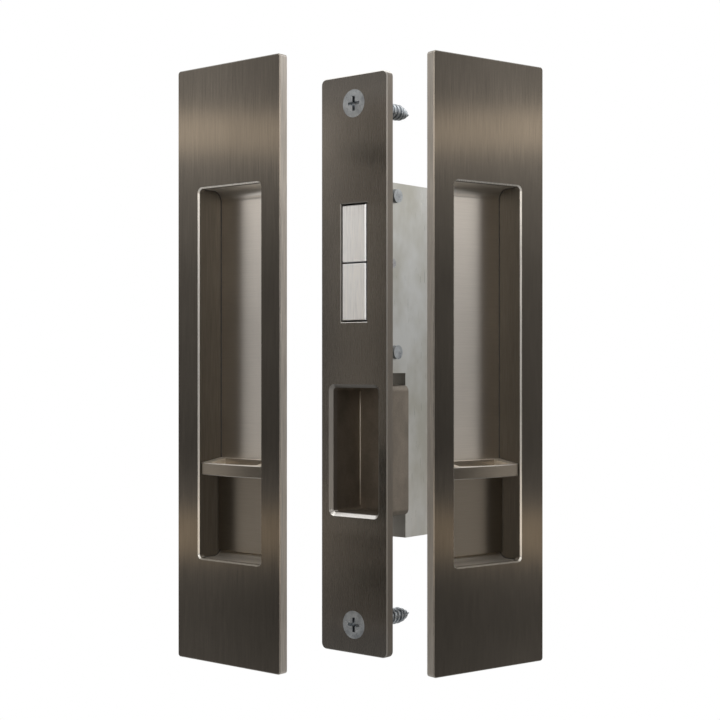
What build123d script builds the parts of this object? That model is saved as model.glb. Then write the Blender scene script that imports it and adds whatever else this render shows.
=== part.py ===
from build123d import *
from math import cos, radians, sin
import os

# Flush pull privacy set for a sliding door: two flush pulls and an edge lock.
# All sizes are in millimetres. The forend's front face is the plane Y = 0,
# +Y runs into the door, +X runs across the door's edge and +Z is up.
# The three units stand apart, as they are laid out before they are fitted.

# Door that the set is made for
door_thickness = 35.0

# Gaps between pieces that move on each other
slide_gap = 0.15
pin_gap = 0.05

# Pull plates
pull_height = 190.0
pull_width = 45.0
pull_thickness = 3.2
pull_corner = 1.0
pull_edge_break = 0.3

# Opening of the pull, measured over its bevel
opening_width = 28.0
opening_height = 119.3
opening_corner = 1.8
opening_bevel = 0.45
opening_rise = -3.05
opening_shift = 0.7

# Pocket behind the opening
pocket_depth = 10.2
liner_sheet = 0.8
liner_bend = 3.5
liner_seat = 1.0

# Thumb slide
thumb_travel = 10.0
bar_above_floor = 26.72
bar_height = 3.9
bar_end_gap = 0.3
bar_front_depth = 0.1
bar_crown = 0.8
bar_lip = 0.9
bar_cheek = 3.2
bar_scoop = 1.2
bar_rise = 1.3
bar_edge_break = 0.25
shutter_thickness = 1.2
shutter_gap = 0.4
shutter_above_floor = 1.92
shutter_relief = 1.0
neck_width = 8.0
neck_height = 6.0
neck_above_shutter = 11.1
neck_slot_gap = 0.2

# Retainer and guide behind the pocket
retainer_width = 14.0
retainer_height = 11.0
retainer_thickness = 3.0
retainer_gap = 0.3
key_thickness = 1.0
key_height = 2.4
guide_sheet = 1.0
guide_gap = 0.3
guide_overrun = 2.0

# Fixing spigots on the back of the pulls, inset from the pocket's end
spigot_inset = 11.95
spigot_radius = 4.0
spigot_reach = 12.0
spigot_root_radius = 4.2
spigot_root_depth = 1.6
spigot_lead = 1.0

# Places of the pulls: middle of the front face, and the turn about Z
left_pull_x = -18.8
left_pull_y = -39.7
left_pull_angle = 0.0
right_pull_x = 48.4
right_pull_y = 8.2
right_pull_angle = 75.4

# Forend
forend_height = 190.0
forend_width = 28.0
forend_thickness = 3.0
forend_corner = 2.0
forend_edge_break = 0.3

# Fixing screws of the forend
screw_inset = 9.4
screw_head_radius = 4.6
screw_neck_radius = 2.3
screw_neck_end = 3.3
screw_shank_radius = 2.1
screw_length = 30.0
screw_point = 6.0
screw_hole_gap = 0.1
cross_length = 4.8
cross_width = 1.0
cross_depth = 1.8
screw_countersink_angle = 90.0

# Claws
claw_centre = 33.3
claw_width = 10.0
claw_nose_height = 18.8
claw_split = 0.5
claw_bevel = 0.35
claw_slot_side_gap = 0.5
claw_slot_end_gap = 0.45
claw_slot_bevel = 0.25
claw_block_back = 22.0
claw_taper = 2.8
claw_spread = 6.0
claw_tang_width = 5.0
claw_tang_radius = 4.5
claw_pivot_back = 35.0
claw_pivot_offset = 6.0
claw_pin_radius = 1.5

# Spreader pin, which the claws ride over
spreader_back = 11.0
spreader_radius = 2.0
spreader_end_radius = 1.5
spreader_gap = 0.25

# Edge pull, measured over its bevel
edge_pull_width = 21.5
edge_pull_height = 43.7
edge_pull_rise = -28.55
edge_pull_corner = 2.3
edge_pull_bevel = 1.1
edge_pull_depth = 15.2
edge_pull_sheet = 0.8

# Lock case
case_thickness = 16.0
case_sheet = 1.2
case_back = 60.0
case_top = 60.0
case_floor_gap = 3.6
case_step_height = -3.0
case_step_gap = 1.5

# Hexagonal pillars between the two shells of the case, and the cover's screws
pillar_radius = 2.5
pillar_bore_depth = 6.0
case_screw_radius = 1.25
case_screw_head_radius = 2.3
case_screw_head_height = 1.3
case_screw_length = 5.5
front_pillar_back = 12.0
front_pillar_inset = 3.2
stem_pillar_inset = 8.8
stem_pillar_spacing = 38.0

# Bolt carriage
carriage_front = 24.0
carriage_back = 52.0
carriage_height = 24.0
carriage_fork_depth = 17.0
carriage_corner = 1.0
carriage_pillar_back = 28.0
cam_pin_radius = 2.0
cam_pin_back = 46.0

# Drive plate and the follower that takes the tails of both pulls
drive_thickness = 1.5
drive_head_front = 31.0
drive_head_margin = 5.0
drive_stem_front = 42.0
drive_corner = 2.0
tail_back = 50.0
tail_gap = 0.3
follower_margin = 3.7
follower_rise = 22.2
follower_side = 5.0
follower_peg_radius = 1.2
follower_peg_spacing = 8.0

# Friction spring on the follower
spring_sheet = 0.4
spring_height = 5.0
spring_top_margin = 2.0
spring_span = 10.8
spring_foot = 1.4

# Sizes that follow from those above
clear_width = opening_width - 2 * opening_bevel
clear_height = opening_height - 2 * opening_bevel
pocket_floor = opening_rise - clear_height / 2
liner_back = pocket_depth + liner_sheet
liner_front = pull_thickness - liner_seat
liner_height = clear_height + 2 * liner_sheet
bar_width = clear_width - 2 * bar_end_gap
bar_bottom = pocket_floor + bar_above_floor
slide_back = pocket_depth - shutter_gap
slide_face = slide_back - shutter_thickness
shutter_bottom = pocket_floor + shutter_above_floor
neck_middle = shutter_bottom + neck_above_shutter + neck_height / 2
tail_end = door_thickness / 2 + pull_thickness
slot_middle = neck_middle + thumb_travel / 2
retainer_front = liner_back + retainer_gap
guide_room = retainer_front + retainer_thickness + guide_gap - liner_back

spigot_height = spigot_inset + liner_sheet - pocket_floor
screw_height = forend_height / 2 - screw_inset
follower_top = neck_middle + follower_rise
follower_bottom = neck_middle - neck_height / 2 - tail_gap - follower_margin
case_bottom = follower_bottom - case_floor_gap - case_sheet
case_half = case_thickness / 2
room_half = case_half - case_sheet
case_step_back = edge_pull_depth + edge_pull_sheet + case_step_gap
claw_slot_width = claw_width + 2 * claw_slot_side_gap
claw_slot_height = 2 * claw_nose_height + claw_split + 2 * claw_slot_end_gap
drive_face = room_half - slide_gap
drive_inner_face = drive_face - drive_thickness
drive_back = case_back - case_sheet - slide_gap
drive_bottom = case_bottom + case_sheet + slide_gap
drive_head_bottom = claw_centre - thumb_travel - cam_pin_radius - drive_head_margin
drive_head_top = claw_centre + cam_pin_radius + drive_head_margin
carriage_half = drive_inner_face - slide_gap
stem_pillar_back = drive_stem_front - slide_gap - pillar_radius
carriage_pillar_offset = carriage_height / 2 + slide_gap + pillar_radius
tail_slot_width = neck_width + 4 * tail_gap
tail_slot_height = neck_height + thumb_travel + 4 * tail_gap
follower_width = neck_width + 2 * tail_gap + 2 * follower_margin - slide_gap
screw_head_depth = screw_head_radius - screw_neck_radius

front = Plane(origin=(0, 0, 0), x_dir=(1, 0, 0), z_dir=(0, -1, 0))
across = Plane.YZ
parts_folder = "parts"
tiny = 1e-4

stem_pillar_height = case_bottom + case_sheet + stem_pillar_inset
screw_places = [
    (front_pillar_back, case_top - case_sheet - front_pillar_inset),
    (front_pillar_back, case_step_height + case_sheet + front_pillar_inset + pillar_radius),
    (stem_pillar_back, stem_pillar_height),
]
guide_places = [
    (carriage_pillar_back, claw_centre + carriage_pillar_offset),
    (carriage_pillar_back, claw_centre - carriage_pillar_offset),
    (stem_pillar_back, stem_pillar_height + stem_pillar_spacing),
]

os.makedirs(parts_folder, exist_ok=True)


# Edges or faces whose middle lies on a plane
def lying_on(shapes, plane):
    return shapes.filter_by(lambda shape: abs(plane.to_local_coords(shape.center()).Z) < tiny)


# Front plane of a pull at its place, turned about Z
def pull_face(x, y, degrees):
    angle = radians(degrees)
    return Plane(origin=(x, y, 0), x_dir=(cos(angle), sin(angle), 0), z_dir=(sin(angle), -cos(angle), 0))


# Outline of the lock case, stepped round the edge pull's pocket
def case_outline():
    with BuildLine() as outline:
        Polyline(
            (forend_thickness, case_top),
            (case_back, case_top),
            (case_back, case_bottom),
            (case_step_back, case_bottom),
            (case_step_back, case_step_height),
            (forend_thickness, case_step_height),
            close=True,
        )
    return outline.line


# One pull: edge_side is +1 where the door's edge is to the right of the pull, or -1
def build_pull(name, face, edge_side):
    middle = edge_side * opening_shift
    centre = face.origin + face.x_dir * middle
    profile = Plane(origin=centre, x_dir=-face.z_dir, z_dir=face.x_dir)
    plan = Plane(origin=centre, x_dir=face.x_dir, z_dir=face.y_dir)

    # Face plate with the pocket's two side walls
    with BuildPart() as pull_plate:
        with BuildSketch(face):
            RectangleRounded(pull_width, pull_height, pull_corner)
        extrude(amount=-pull_thickness)
        chamfer(lying_on(pull_plate.edges(), face), length=pull_edge_break)
        with BuildSketch(face):
            with Locations((middle, opening_rise)):
                RectangleRounded(clear_width, clear_height, opening_corner - opening_bevel)
        extrude(amount=-pull_thickness, mode=Mode.SUBTRACT)
        chamfer(lying_on(pull_plate.edges(Select.LAST), face), length=opening_bevel)
        with BuildSketch(profile.offset(clear_width / 2), profile.offset(-clear_width / 2 - liner_sheet)):
            with Locations((pull_thickness, opening_rise)):
                side_wall = Rectangle(
                    liner_back - pull_thickness, liner_height, align=(Align.MIN, Align.CENTER)
                )
            fillet(side_wall.vertices().group_by(Axis.X)[-1], radius=liner_bend + liner_sheet)
        extrude(amount=liner_sheet)
        with BuildSketch(face.offset(-pull_thickness)):
            with Locations((middle, opening_rise)):
                Rectangle(clear_width, liner_height)
        extrude(amount=liner_seat, mode=Mode.SUBTRACT)
        with BuildSketch(face.offset(-pull_thickness)):
            with Locations((0, spigot_height), (0, -spigot_height)):
                Circle(spigot_root_radius)
        extrude(amount=spigot_root_depth, mode=Mode.SUBTRACT)
    pull_plate.part.label = f"{name}_pull_plate"
    export_step(pull_plate.part, f"{parts_folder}/{name}_pull_plate.step")

    # Liner bent from one strip: ceiling, back and floor of the pocket
    with BuildPart() as pocket_liner:
        with BuildSketch(profile) as strip:
            with Locations((liner_front, opening_rise)):
                Rectangle(liner_back - liner_front, liner_height, align=(Align.MIN, Align.CENTER))
            fillet(strip.vertices().group_by(Axis.X)[-1], radius=liner_bend + liner_sheet)
        extrude(amount=clear_width / 2, both=True)
        with BuildSketch(profile) as room:
            with Locations((liner_front, opening_rise)):
                Rectangle(pocket_depth - liner_front, clear_height, align=(Align.MIN, Align.CENTER))
            fillet(room.vertices().group_by(Axis.X)[-1], radius=liner_bend)
        extrude(amount=clear_width / 2, both=True, mode=Mode.SUBTRACT)
        with BuildSketch(face.offset(-pocket_depth)):
            with Locations((middle, slot_middle)):
                Rectangle(
                    neck_width + 2 * neck_slot_gap,
                    neck_height + thumb_travel + 2 * neck_slot_gap,
                )
        extrude(amount=-liner_sheet, mode=Mode.SUBTRACT)
    pocket_liner.part.label = f"{name}_pocket_liner"
    export_step(pocket_liner.part, f"{parts_folder}/{name}_pocket_liner.step")

    # Thumb slide: crowned bar with a rising thumb rest, shutter, neck and drive tail
    bar_end_depth = bar_front_depth + bar_crown
    scoop_half = bar_width / 2 - bar_cheek
    with BuildPart() as thumb_slide:
        with BuildSketch(plan.offset(bar_bottom)):
            with BuildLine():
                ThreePointArc(
                    (-bar_width / 2, bar_end_depth), (0, bar_front_depth), (bar_width / 2, bar_end_depth)
                )
                Polyline(
                    (bar_width / 2, bar_end_depth),
                    (bar_width / 2, slide_back),
                    (-bar_width / 2, slide_back),
                    (-bar_width / 2, bar_end_depth),
                )
            make_face()
        extrude(amount=bar_height)
        front_edges = thumb_slide.edges().filter_by(GeomType.CIRCLE)
        chamfer(front_edges, length=bar_edge_break)
        with BuildSketch(profile):
            with BuildLine():
                Polyline(
                    (bar_end_depth, bar_bottom + bar_height),
                    (slide_back, bar_bottom + bar_height + bar_rise),
                    (slide_back, bar_bottom + bar_height),
                    close=True,
                )
            make_face()
        extrude(amount=bar_width / 2, both=True)
        with BuildSketch(plan.offset(bar_bottom + bar_height - bar_scoop)):
            with BuildLine():
                ThreePointArc(
                    (-scoop_half, bar_end_depth + bar_lip),
                    (0, bar_front_depth + bar_lip),
                    (scoop_half, bar_end_depth + bar_lip),
                )
                Polyline(
                    (scoop_half, bar_end_depth + bar_lip),
                    (scoop_half, slide_face),
                    (-scoop_half, slide_face),
                    (-scoop_half, bar_end_depth + bar_lip),
                )
            make_face()
        extrude(amount=bar_scoop + bar_rise, mode=Mode.SUBTRACT)
        with BuildSketch(profile):
            with BuildLine():
                Polyline(
                    (slide_face, bar_bottom),
                    (slide_back, bar_bottom),
                    (slide_back, shutter_bottom + shutter_relief),
                    (slide_back - shutter_relief, shutter_bottom),
                    (slide_face, shutter_bottom),
                    close=True,
                )
            make_face()
        extrude(amount=bar_width / 2, both=True)
        with BuildSketch(face.offset(-slide_back)):
            with Locations((middle, neck_middle)):
                Rectangle(neck_width, neck_height)
        extrude(amount=-(tail_end - slide_back))
        with BuildSketch(profile):
            with Locations((retainer_front + retainer_thickness / 2, neck_middle)):
                Rectangle(key_thickness, key_height)
        extrude(amount=neck_width, both=True, mode=Mode.SUBTRACT)
    thumb_slide.part.label = f"{name}_thumb_slide"
    export_step(thumb_slide.part, f"{parts_folder}/{name}_thumb_slide.step")

    # Retainer, pushed over the neck from behind
    with BuildPart() as slide_retainer:
        with BuildSketch(face.offset(-retainer_front)):
            with Locations((middle, neck_middle)):
                Rectangle(retainer_width, retainer_height)
                Rectangle(neck_width, neck_height, mode=Mode.SUBTRACT)
        extrude(amount=-retainer_thickness)
        with BuildSketch(profile):
            with Locations((retainer_front + retainer_thickness / 2, neck_middle)):
                Rectangle(key_thickness, key_height)
        extrude(amount=retainer_width, both=True, mode=Mode.SUBTRACT)
    slide_retainer.part.label = f"{name}_slide_retainer"
    export_step(slide_retainer.part, f"{parts_folder}/{name}_slide_retainer.step")

    # Flat cross key that locks the retainer on the neck
    with BuildPart() as retainer_key:
        with BuildSketch(profile):
            with Locations((retainer_front + retainer_thickness / 2, neck_middle)):
                Rectangle(key_thickness, key_height)
        extrude(amount=retainer_width / 2, both=True)
    retainer_key.part.label = f"{name}_retainer_key"
    export_step(retainer_key.part, f"{parts_folder}/{name}_retainer_key.step")

    # Guide channel on the back of the liner, slotted for the tail
    guide_inner = retainer_width + 2 * guide_gap
    guide_height = retainer_height + thumb_travel + 2 * guide_overrun
    with BuildPart() as slide_guide:
        with BuildSketch(plan.offset(slot_middle - guide_height / 2)):
            with Locations((0, liner_back)):
                Rectangle(
                    guide_inner + 2 * guide_sheet,
                    guide_room + guide_sheet,
                    align=(Align.CENTER, Align.MIN),
                )
                Rectangle(
                    guide_inner, guide_room, align=(Align.CENTER, Align.MIN), mode=Mode.SUBTRACT
                )
        extrude(amount=guide_height)
        with BuildSketch(face.offset(-(liner_back + guide_room))):
            with Locations((middle, slot_middle)):
                Rectangle(neck_width + 2 * guide_gap, neck_height + thumb_travel + 2 * guide_gap)
        extrude(amount=-guide_sheet, mode=Mode.SUBTRACT)
    slide_guide.part.label = f"{name}_slide_guide"
    export_step(slide_guide.part, f"{parts_folder}/{name}_slide_guide.step")

    # Two press-in spigots that hold the pull in blind holes in the door
    with BuildPart() as fixing_spigots:
        with BuildSketch(face.offset(-pull_thickness)):
            with Locations((0, spigot_height), (0, -spigot_height)):
                Circle(spigot_root_radius)
        extrude(amount=spigot_root_depth)
        with BuildSketch(face.offset(-pull_thickness)):
            with Locations((0, spigot_height), (0, -spigot_height)):
                Circle(spigot_radius)
        extrude(amount=-spigot_reach)
        tip = face.offset(-(pull_thickness + spigot_reach))
        chamfer(lying_on(fixing_spigots.edges(), tip), length=spigot_lead)
    fixing_spigots.part.label = f"{name}_fixing_spigots"
    export_step(fixing_spigots.part, f"{parts_folder}/{name}_fixing_spigots.step")


build_pull("left", pull_face(left_pull_x, left_pull_y, left_pull_angle), 1)
build_pull("right", pull_face(right_pull_x, right_pull_y, right_pull_angle), -1)

# Forend with its screw seats, claw slot and edge pull opening
edge_pull_clear_width = edge_pull_width - 2 * edge_pull_bevel
edge_pull_clear_height = edge_pull_height - 2 * edge_pull_bevel
edge_pull_clear_corner = edge_pull_corner - edge_pull_bevel
with BuildPart() as forend:
    with BuildSketch(front):
        RectangleRounded(forend_width, forend_height, forend_corner)
    extrude(amount=-forend_thickness)
    chamfer(lying_on(forend.edges(), front), length=forend_edge_break)
    with BuildSketch(front):
        with Locations((0, claw_centre)):
            Rectangle(claw_slot_width, claw_slot_height)
    extrude(amount=-forend_thickness, mode=Mode.SUBTRACT)
    chamfer(lying_on(forend.edges(Select.LAST), front), length=claw_slot_bevel)
    with BuildSketch(front):
        with Locations((0, edge_pull_rise)):
            RectangleRounded(edge_pull_clear_width, edge_pull_clear_height, edge_pull_clear_corner)
    extrude(amount=-forend_thickness, mode=Mode.SUBTRACT)
    chamfer(lying_on(forend.edges(Select.LAST), front), length=edge_pull_bevel)
    with Locations(front):
        with Locations((0, screw_height, 0), (0, -screw_height, 0)):
            CounterSinkHole(
                radius=screw_neck_radius + screw_hole_gap,
                counter_sink_radius=screw_head_radius,
                depth=forend_thickness,
                counter_sink_angle=screw_countersink_angle,
            )
forend.part.label = "forend"
export_step(forend.part, "parts/forend.step")

# Fixing screws: countersunk head with a cross recess, neck, plain shank and point
with BuildPart() as forend_screws:
    for side in (1, -1):
        with BuildSketch(Plane.YZ):
            with BuildLine():
                Polyline(
                    (0, side * screw_height),
                    (0, side * screw_height + screw_head_radius),
                    (screw_head_depth, side * screw_height + screw_neck_radius),
                    (screw_neck_end, side * screw_height + screw_neck_radius),
                    (screw_neck_end, side * screw_height + screw_shank_radius),
                    (screw_length - screw_point, side * screw_height + screw_shank_radius),
                    (screw_length, side * screw_height),
                    close=True,
                )
            make_face()
        revolve(axis=Axis((0, 0, side * screw_height), (0, 1, 0)))
    with BuildSketch(front):
        with Locations((0, screw_height), (0, -screw_height)):
            Rectangle(cross_length, cross_width)
            Rectangle(cross_width, cross_length)
    extrude(amount=-cross_depth, mode=Mode.SUBTRACT)
forend_screws.part.label = "forend_screws"
export_step(forend_screws.part, "parts/forend_screws.step")

# Pocket of the edge pull, drawn from sheet and set behind the forend
with BuildPart() as edge_pull_pocket:
    with BuildSketch(front.offset(-forend_thickness)):
        with Locations((0, edge_pull_rise)):
            RectangleRounded(
                edge_pull_clear_width + 2 * edge_pull_sheet,
                edge_pull_clear_height + 2 * edge_pull_sheet,
                edge_pull_clear_corner + edge_pull_sheet,
            )
    extrude(amount=-(edge_pull_depth + edge_pull_sheet - forend_thickness))
    with BuildSketch(front.offset(-forend_thickness)):
        with Locations((0, edge_pull_rise)):
            RectangleRounded(edge_pull_clear_width, edge_pull_clear_height, edge_pull_clear_corner)
    extrude(amount=-(edge_pull_depth - forend_thickness), mode=Mode.SUBTRACT)
edge_pull_pocket.part.label = "edge_pull_pocket"
export_step(edge_pull_pocket.part, "parts/edge_pull_pocket.step")

# Case tray: side, rims and front wall, with the claw slot and the tail slot
with BuildPart() as case_tray:
    with BuildSketch(across.offset(-case_half)):
        add(case_outline())
        make_face()
    extrude(amount=case_half + room_half)
    with BuildSketch(across.offset(-room_half)):
        add(case_outline())
        make_face()
        offset(amount=-case_sheet, kind=Kind.INTERSECTION, mode=Mode.REPLACE)
    extrude(amount=2 * room_half, mode=Mode.SUBTRACT)
    with BuildSketch(front.offset(-forend_thickness)):
        with Locations((0, claw_centre)):
            Rectangle(claw_slot_width, claw_slot_height)
    extrude(amount=-case_sheet, mode=Mode.SUBTRACT)
    with BuildSketch(across.offset(-case_half)):
        with Locations((tail_back, slot_middle)):
            Rectangle(tail_slot_width, tail_slot_height)
        with Locations((spreader_back, claw_centre)):
            Circle(spreader_end_radius)
    extrude(amount=case_sheet, mode=Mode.SUBTRACT)
case_tray.part.label = "case_tray"
export_step(case_tray.part, "parts/case_tray.step")

# Case cover: flat plate with screw seats, the carriage's slot and the tail slot
with BuildPart() as case_cover:
    with BuildSketch(across.offset(room_half)):
        add(case_outline())
        make_face()
        with Locations((tail_back, slot_middle)):
            Rectangle(tail_slot_width, tail_slot_height, mode=Mode.SUBTRACT)
        with Locations((spreader_back, claw_centre)):
            Circle(spreader_end_radius, mode=Mode.SUBTRACT)
        with Locations((cam_pin_back - thumb_travel / 2, claw_centre)):
            SlotCenterToCenter(thumb_travel, 2 * (cam_pin_radius + pin_gap), mode=Mode.SUBTRACT)
        with Locations(screw_places):
            Circle(case_screw_radius, mode=Mode.SUBTRACT)
    extrude(amount=case_sheet)
case_cover.part.label = "case_cover"
export_step(case_cover.part, "parts/case_cover.step")

# Hexagonal pillars between tray and cover, tapped for the cover's screws
with BuildPart() as case_pillars:
    with BuildSketch(across.offset(-room_half)):
        with Locations(screw_places):
            RegularPolygon(pillar_radius, 6, major_radius=False, rotation=30)
    extrude(amount=2 * room_half)
    with BuildSketch(across.offset(room_half)):
        with Locations(screw_places):
            Circle(case_screw_radius)
    extrude(amount=-pillar_bore_depth, mode=Mode.SUBTRACT)
case_pillars.part.label = "case_pillars"
export_step(case_pillars.part, "parts/case_pillars.step")

# Plain guide pins: two beside the carriage and one in front of the drive plate's stem
with BuildPart() as guide_pins:
    with BuildSketch(across.offset(-room_half)):
        with Locations(guide_places):
            Circle(pillar_radius)
    extrude(amount=2 * room_half)
guide_pins.part.label = "guide_pins"
export_step(guide_pins.part, "parts/guide_pins.step")

# Pan-head screws of the cover
with BuildPart() as case_screws:
    with BuildSketch(across.offset(case_half)):
        with Locations(screw_places):
            Circle(case_screw_head_radius)
    extrude(amount=case_screw_head_height)
    with BuildSketch(across.offset(case_half)):
        with Locations(screw_places):
            Circle(case_screw_radius)
    extrude(amount=-case_screw_length)
case_screws.part.label = "case_screws"
export_step(case_screws.part, "parts/case_screws.step")

# Spreader pin, shouldered between the tray and the cover
with BuildPart() as spreader_pin:
    with BuildSketch(across.offset(-room_half)):
        with Locations((spreader_back, claw_centre)):
            Circle(spreader_radius)
    extrude(amount=2 * room_half)
    with BuildSketch(across.offset(-case_half)):
        with Locations((spreader_back, claw_centre)):
            Circle(spreader_end_radius)
    extrude(amount=case_thickness)
spreader_pin.part.label = "spreader_pin"
export_step(spreader_pin.part, "parts/spreader_pin.step")

# Drive plate: stem with a slanted cam slot in its head and a window for the tails
with BuildPart() as drive_plate:
    with BuildSketch(across.offset(-drive_face)) as outline:
        with BuildLine():
            Polyline(
                (drive_head_front, drive_head_top),
                (drive_back, drive_head_top),
                (drive_back, drive_bottom),
                (drive_stem_front, drive_bottom),
                (drive_stem_front, drive_head_bottom),
                (drive_head_front, drive_head_bottom),
                close=True,
            )
        make_face()
        fillet(outline.vertices(), radius=drive_corner)
        slot_place = (cam_pin_back - thumb_travel / 2, claw_centre - thumb_travel / 2)
        with Locations(slot_place):
            SlotCenterToCenter(
                thumb_travel * 2**0.5,
                2 * (cam_pin_radius + pin_gap),
                rotation=45,
                mode=Mode.SUBTRACT,
            )
        with Locations((tail_back, neck_middle)):
            Rectangle(neck_width + 2 * tail_gap, neck_height + 2 * tail_gap, mode=Mode.SUBTRACT)
        peg_height = follower_top - follower_margin
        with Locations((tail_back, peg_height)):
            with GridLocations(follower_peg_spacing, 0, 2, 1):
                Circle(follower_peg_radius, mode=Mode.SUBTRACT)
    extrude(amount=drive_thickness)
drive_plate.part.label = "drive_plate"
export_step(drive_plate.part, "parts/drive_plate.step")

# Follower block, pegged to the plate, with the window that takes both tails
with BuildPart() as tail_follower:
    with BuildSketch(across.offset(-drive_inner_face)):
        with Locations((tail_back, (follower_top + follower_bottom) / 2)):
            Rectangle(follower_width, follower_top - follower_bottom)
        with Locations((tail_back, neck_middle)):
            Rectangle(neck_width + 2 * tail_gap, neck_height + 2 * tail_gap, mode=Mode.SUBTRACT)
    extrude(amount=drive_inner_face + follower_side)
    with BuildSketch(across.offset(-drive_face)):
        with Locations((tail_back, peg_height)):
            with GridLocations(follower_peg_spacing, 0, 2, 1):
                Circle(follower_peg_radius)
    extrude(amount=drive_thickness)
tail_follower.part.label = "tail_follower"
export_step(tail_follower.part, "parts/tail_follower.step")

# Bowed leaf on the follower that rubs on the cover and keeps the slide where it is put
leaf_middle = follower_side + spring_sheet / 2
leaf_crest = room_half - pin_gap - spring_sheet / 2
leaf_end = spring_span / 2
leaf_bend = leaf_end - spring_foot
with BuildPart() as friction_spring:
    with BuildSketch(Plane.XY.offset(follower_top - spring_top_margin - spring_height)):
        with BuildLine():
            Line((leaf_middle, tail_back - leaf_end), (leaf_middle, tail_back - leaf_bend))
            ThreePointArc(
                (leaf_middle, tail_back - leaf_bend),
                (leaf_crest, tail_back),
                (leaf_middle, tail_back + leaf_bend),
            )
            Line((leaf_middle, tail_back + leaf_bend), (leaf_middle, tail_back + leaf_end))
        trace(line_width=spring_sheet)
    extrude(amount=spring_height)
friction_spring.part.label = "friction_spring"
export_step(friction_spring.part, "parts/friction_spring.step")

# Bolt carriage: a block forked at its front end for the tangs of both claws
carriage_length = carriage_back - carriage_front
with BuildPart() as bolt_carriage:
    with BuildSketch(across.offset(-carriage_half)) as outline:
        with Locations((carriage_front, claw_centre)):
            Rectangle(carriage_length, carriage_height, align=(Align.MIN, Align.CENTER))
        fillet(outline.vertices(), radius=carriage_corner)
    extrude(amount=2 * carriage_half)
    with BuildSketch(across.offset(-claw_tang_width / 2 - slide_gap)):
        with Locations((carriage_front, claw_centre)):
            Rectangle(carriage_fork_depth, carriage_height, align=(Align.MIN, Align.CENTER))
    extrude(amount=claw_tang_width + 2 * slide_gap, mode=Mode.SUBTRACT)
    with BuildSketch(across):
        with Locations((claw_pivot_back, claw_centre)):
            with GridLocations(0, 2 * claw_pivot_offset, 1, 2):
                Circle(claw_pin_radius)
        with Locations((cam_pin_back, claw_centre)):
            Circle(cam_pin_radius)
    extrude(amount=case_half, both=True, mode=Mode.SUBTRACT)
bolt_carriage.part.label = "bolt_carriage"
export_step(bolt_carriage.part, "parts/bolt_carriage.step")

# Pivot pins of the claws
with BuildPart() as claw_pins:
    with BuildSketch(across):
        with Locations((claw_pivot_back, claw_centre)):
            with GridLocations(0, 2 * claw_pivot_offset, 1, 2):
                Circle(claw_pin_radius)
    extrude(amount=carriage_half, both=True)
claw_pins.part.label = "claw_pins"
export_step(claw_pins.part, "parts/claw_pins.step")

# Cam pin: runs in the drive plate's slanted slot and in the cover's straight one
with BuildPart() as cam_pin:
    with BuildSketch(across.offset(-drive_face)):
        with Locations((cam_pin_back, claw_centre)):
            Circle(cam_pin_radius)
    extrude(amount=drive_face + case_half - pin_gap)
cam_pin.part.label = "cam_pin"
export_step(cam_pin.part, "parts/cam_pin.step")


# Height over the claws' middle at which a claw clears the spreader pin, with the
# carriage moved out by reach and the claw turned with it
def clear_of_spreader(reach):
    turn = radians(claw_spread * reach / thumb_travel)
    drop = spreader_radius + spreader_gap - claw_pivot_offset
    return claw_pivot_offset + (drop - (claw_pivot_back - spreader_back - reach) * sin(turn)) / cos(turn)


# One claw: side is +1 for the upper one, or -1
def build_claw(name, side):
    inner = claw_split / 2
    outer = inner + claw_nose_height
    cam_reach = claw_block_back - spreader_back
    cam_front = spreader_back - spreader_radius - spreader_gap

    # Height of a point at an offset from the claws' middle
    def at(back, offset_height):
        return (back, claw_centre + side * offset_height)

    with BuildPart() as claw:
        with BuildSketch(across.offset(-claw_width / 2)):
            with BuildLine():
                Polyline(
                    at(cam_front, clear_of_spreader(0)),
                    at(cam_front, inner),
                    at(0, inner),
                    at(0, outer),
                    at(thumb_travel, outer - claw_taper),
                    at(claw_block_back, outer - claw_taper),
                    at(claw_block_back, clear_of_spreader(cam_reach)),
                )
                ThreePointArc(
                    at(claw_block_back, clear_of_spreader(cam_reach)),
                    at(spreader_back + cam_reach / 2, clear_of_spreader(cam_reach / 2)),
                    at(spreader_back, clear_of_spreader(0)),
                )
                Line(at(spreader_back, clear_of_spreader(0)), at(cam_front, clear_of_spreader(0)))
            make_face()
        extrude(amount=claw_width)
        chamfer(lying_on(claw.edges(), front), length=claw_bevel)
        with BuildSketch(across.offset(-claw_tang_width / 2)):
            with Locations(at(claw_pivot_back, claw_pivot_offset)):
                Rectangle(
                    claw_pivot_back - claw_block_back,
                    2 * claw_tang_radius,
                    align=(Align.MAX, Align.CENTER),
                )
                Circle(claw_tang_radius)
        extrude(amount=claw_tang_width)
        with BuildSketch(across.offset(-claw_tang_width / 2)):
            with Locations(at(claw_pivot_back, claw_pivot_offset)):
                Circle(claw_pin_radius + pin_gap)
        extrude(amount=claw_tang_width, mode=Mode.SUBTRACT)
    claw.part.label = name
    export_step(claw.part, f"{parts_folder}/{name}.step")


build_claw("upper_claw", 1)
build_claw("lower_claw", -1)
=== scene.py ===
"""Flush pull privacy set for a sliding door: finishes, small pieces and studio."""

import logging
from dataclasses import dataclass, field, replace
from enum import Enum
from math import cos, pi, radians, sin

import bmesh
import bpy
from mathutils import Matrix, Vector


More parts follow.
